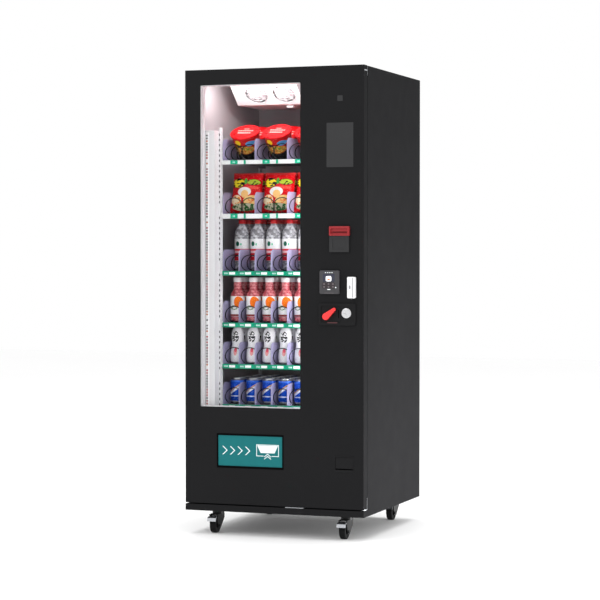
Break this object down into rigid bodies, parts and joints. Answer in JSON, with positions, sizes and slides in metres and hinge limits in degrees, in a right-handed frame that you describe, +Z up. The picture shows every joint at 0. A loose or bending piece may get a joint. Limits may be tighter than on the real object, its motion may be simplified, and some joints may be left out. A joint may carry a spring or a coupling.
{
  "type": "snack vending machine",
  "caption": "Glass-front spiral vending machine on braked casters, with a hinged door, payment panel, push flap over a pick-up bin and a coin return.",
  "frame": {"origin": "on the floor, under the middle of the machine's bounding box", "axes": "+Z up; the door faces -Y; +X is the payment side, on the right of a user facing the machine"},
  "size_m": [0.792, 0.825, 1.952],
  "materials": {
    "black_paint": "satin powder coat",
    "black_paint_base": "satin powder coat",
    "black_paint_grille": "satin powder coat",
    "white_liner": "white coated sheet",
    "inlet_plastic": "matte",
    "screw_steel": "zinc plated",
    "compressor_paint": "gloss",
    "fin_aluminium": "mill finish fins",
    "fan_plastic": "matte",
    "cover_white": "white coated sheet",
    "fan_grey": "matte",
    "upright_white": "white coated sheet",
    "led_strip": "diffusing cover",
    "divider_lavender": "lavender plastic plates",
    "rail_green": "green price rails",
    "spiral_wire": "black coated wire",
    "motor_plastic": "matte",
    "hinge_steel": "zinc plated",
    "door_paint": "satin powder coat",
    "door_inner": "light grey coated sheet",
    "glass_clear": "clear double glazing",
    "trim_white": "white",
    "gasket_rubber": "soft magnetic gasket",
    "screen_glass": "dark cover glass",
    "bezel_red": "satin red",
    "acceptor_grey": "dark grey",
    "reader_plastic": "dark grey",
    "scanner_white": "white",
    "coin_panel_plastic": "black",
    "lever_red": "red",
    "lock_chrome": "polished",
    "frame_plastic": "black",
    "flap_teal": "teal",
    "bin_steel": "black coated sheet",
    "cup_plastic": "black",
    "coin_flap_plastic": "black",
    "caster_steel": "zinc plated",
    "tray_steel": "coated sheet",
    "fork_black": "black",
    "caster_tread": "black wheel",
    "pedal_chrome": "plated pedal"
  },
  "bodies": {
    "cabinet": {"cabinet_shell": "black_paint", "inner_liner": "white_liner", "base_frame": "black_paint_base", "rear_grille": "black_paint_grille", "power_inlet": "inlet_plastic", "panel_screws": "screw_steel", "compressor": "compressor_paint", "condenser": "fin_aluminium", "evaporator_cover": "cover_white", "tray_uprights": "upright_white", "light_strips": "led_strip", "lane_dividers": "divider_lavender", "price_rails": "rail_green", "product_spirals": "spiral_wire", "spiral_motors": "motor_plastic", "hinge_brackets": "hinge_steel", "caster_plates": "caster_steel", "tray_1": "tray_steel", "tray_2": "tray_steel", "tray_3": "tray_steel", "tray_4": "tray_steel", "tray_5": "tray_steel", "tray_6": "tray_steel"},
    "door": {"door_shell": "door_paint", "door_liner": "door_inner", "window_glass": "glass_clear", "window_trim": "trim_white", "door_gasket": "gasket_rubber", "touch_screen": "screen_glass", "bill_bezel": "bezel_red", "bill_validator": "acceptor_grey", "card_reader": "reader_plastic", "code_scanner": "scanner_white", "coin_panel": "coin_panel_plastic", "lock_escutcheon": "lock_chrome", "delivery_frame": "frame_plastic", "pickup_bin": "bin_steel", "coin_return_cup": "cup_plastic"},
    "spiral_tray_3": {"spiral_tray_3": "spiral_wire"},
    "spiral_tray_4": {"spiral_tray_4": "spiral_wire"},
    "spiral_tray_5": {"spiral_tray_5": "spiral_wire"},
    "evaporator_fan_left": {"evaporator_fan_left": "fan_grey"},
    "evaporator_fan_right": {"evaporator_fan_right": "fan_grey"},
    "condenser_fan": {"condenser_fan": "fan_plastic"},
    "coin_return_lever": {"coin_return_lever": "lever_red"},
    "lock_plug": {"lock_plug": "lock_chrome"},
    "delivery_flap": {"delivery_flap": "flap_teal"},
    "coin_return_flap": {"coin_return_flap": "coin_flap_plastic"},
    "caster_fork_front_left": {"caster_fork_front_left": "fork_black"},
    "caster_wheel_front_left": {"caster_wheel_front_left": "caster_tread"},
    "caster_brake_front_left": {"caster_brake_front_left": "pedal_chrome"},
    "caster_fork_front_right": {"caster_fork_front_right": "fork_black"},
    "caster_wheel_front_right": {"caster_wheel_front_right": "caster_tread"},
    "caster_brake_front_right": {"caster_brake_front_right": "pedal_chrome"},
    "caster_fork_rear_left": {"caster_fork_rear_left": "fork_black"},
    "caster_wheel_rear_left": {"caster_wheel_rear_left": "caster_tread"},
    "caster_brake_rear_left": {"caster_brake_rear_left": "pedal_chrome"},
    "caster_fork_rear_right": {"caster_fork_rear_right": "fork_black"},
    "caster_wheel_rear_right": {"caster_wheel_rear_right": "caster_tread"},
    "caster_brake_rear_right": {"caster_brake_rear_right": "pedal_chrome"}
  },
  "joints": [
    {"name": "door_hinge", "type": "hinge", "parent": "cabinet", "child": "door", "pos_m": [0.386, -0.3575, 1], "axis": [0, 0, 1], "range_deg": [0, 105]},
    {"name": "delivery_flap_swing", "type": "hinge", "parent": "door", "child": "delivery_flap", "pos_m": [-0.103, -0.373, 0.415], "axis": [1, 0, 0], "range_deg": [0, 55], "stiffness_Nm_per_rad": 0.05, "springref_deg": -28.65},
    {"name": "coin_return_flap_swing", "type": "hinge", "parent": "door", "child": "coin_return_flap", "pos_m": [0.312, -0.376, 0.342], "axis": [1, 0, 0], "range_deg": [0, 50], "stiffness_Nm_per_rad": 0.002, "springref_deg": -28.65},
    {"name": "coin_return_press", "type": "hinge", "parent": "door", "child": "coin_return_lever", "pos_m": [0.2366, -0.3825, 0.9237], "axis": [0, 1, 0], "range_deg": [0, 30], "stiffness_Nm_per_rad": 0.2, "springref_deg": -20.05},
    {"name": "lock_turn", "type": "hinge", "parent": "door", "child": "lock_plug", "pos_m": [0.3238, -0.3825, 0.9382], "axis": [0, 1, 0], "range_deg": [0, 90]},
    {"name": "evaporator_fan_left_spin", "type": "hinge", "parent": "cabinet", "child": "evaporator_fan_left", "pos_m": [-0.174, -0.1235, 1.864], "axis": [0, -0.6495, -0.7604], "continuous": true},
    {"name": "evaporator_fan_right_spin", "type": "hinge", "parent": "cabinet", "child": "evaporator_fan_right", "pos_m": [-0.048, -0.1235, 1.864], "axis": [0, -0.6495, -0.7604], "continuous": true},
    {"name": "condenser_fan_spin", "type": "hinge", "parent": "cabinet", "child": "condenser_fan", "pos_m": [-0.19, 0.3235, 0.3], "axis": [0, 1, 0], "continuous": true},
    {"name": "spiral_tray_3_turn", "type": "hinge", "parent": "cabinet", "child": "spiral_tray_3", "pos_m": [0.1225, 0.2355, 1.1435], "axis": [0, 1, 0], "continuous": true},
    {"name": "spiral_tray_4_turn", "type": "hinge", "parent": "cabinet", "child": "spiral_tray_4", "pos_m": [0.1225, 0.2355, 0.9245], "axis": [0, 1, 0], "continuous": true},
    {"name": "spiral_tray_5_turn", "type": "hinge", "parent": "cabinet", "child": "spiral_tray_5", "pos_m": [0.1225, 0.2355, 0.7485], "axis": [0, 1, 0], "continuous": true},
    {"name": "caster_swivel_front_left", "type": "hinge", "parent": "cabinet", "child": "caster_fork_front_left", "pos_m": [-0.289, -0.2785, 0.085], "axis": [0, 0, 1], "continuous": true},
    {"name": "caster_roll_front_left", "type": "hinge", "parent": "caster_fork_front_left", "child": "caster_wheel_front_left", "pos_m": [-0.289, -0.3125, 0.0315], "axis": [1, 0, 0], "continuous": true},
    {"name": "caster_brake_press_front_left", "type": "hinge", "parent": "caster_fork_front_left", "child": "caster_brake_front_left", "pos_m": [-0.289, -0.3265, 0.068], "axis": [1, 0, 0], "range_deg": [0, 6]},
    {"name": "caster_swivel_front_right", "type": "hinge", "parent": "cabinet", "child": "caster_fork_front_right", "pos_m": [0.289, -0.2785, 0.085], "axis": [0, 0, 1], "continuous": true},
    {"name": "caster_roll_front_right", "type": "hinge", "parent": "caster_fork_front_right", "child": "caster_wheel_front_right", "pos_m": [0.289, -0.3125, 0.0315], "axis": [1, 0, 0], "continuous": true},
    {"name": "caster_brake_press_front_right", "type": "hinge", "parent": "caster_fork_front_right", "child": "caster_brake_front_right", "pos_m": [0.289, -0.3265, 0.068], "axis": [1, 0, 0], "range_deg": [0, 6]},
    {"name": "caster_swivel_rear_left", "type": "hinge", "parent": "cabinet", "child": "caster_fork_rear_left", "pos_m": [-0.289, 0.3655, 0.085], "axis": [0, 0, 1], "continuous": true},
    {"name": "caster_roll_rear_left", "type": "hinge", "parent": "caster_fork_rear_left", "child": "caster_wheel_rear_left", "pos_m": [-0.289, 0.3315, 0.0315], "axis": [1, 0, 0], "continuous": true},
    {"name": "caster_brake_press_rear_left", "type": "hinge", "parent": "caster_fork_rear_left", "child": "caster_brake_rear_left", "pos_m": [-0.289, 0.3175, 0.068], "axis": [1, 0, 0], "range_deg": [0, 6]},
    {"name": "caster_swivel_rear_right", "type": "hinge", "parent": "cabinet", "child": "caster_fork_rear_right", "pos_m": [0.289, 0.3655, 0.085], "axis": [0, 0, 1], "continuous": true},
    {"name": "caster_roll_rear_right", "type": "hinge", "parent": "caster_fork_rear_right", "child": "caster_wheel_rear_right", "pos_m": [0.289, 0.3315, 0.0315], "axis": [1, 0, 0], "continuous": true},
    {"name": "caster_brake_press_rear_right", "type": "hinge", "parent": "caster_fork_rear_right", "child": "caster_brake_rear_right", "pos_m": [0.289, 0.3175, 0.068], "axis": [1, 0, 0], "range_deg": [0, 6]}
  ]
}
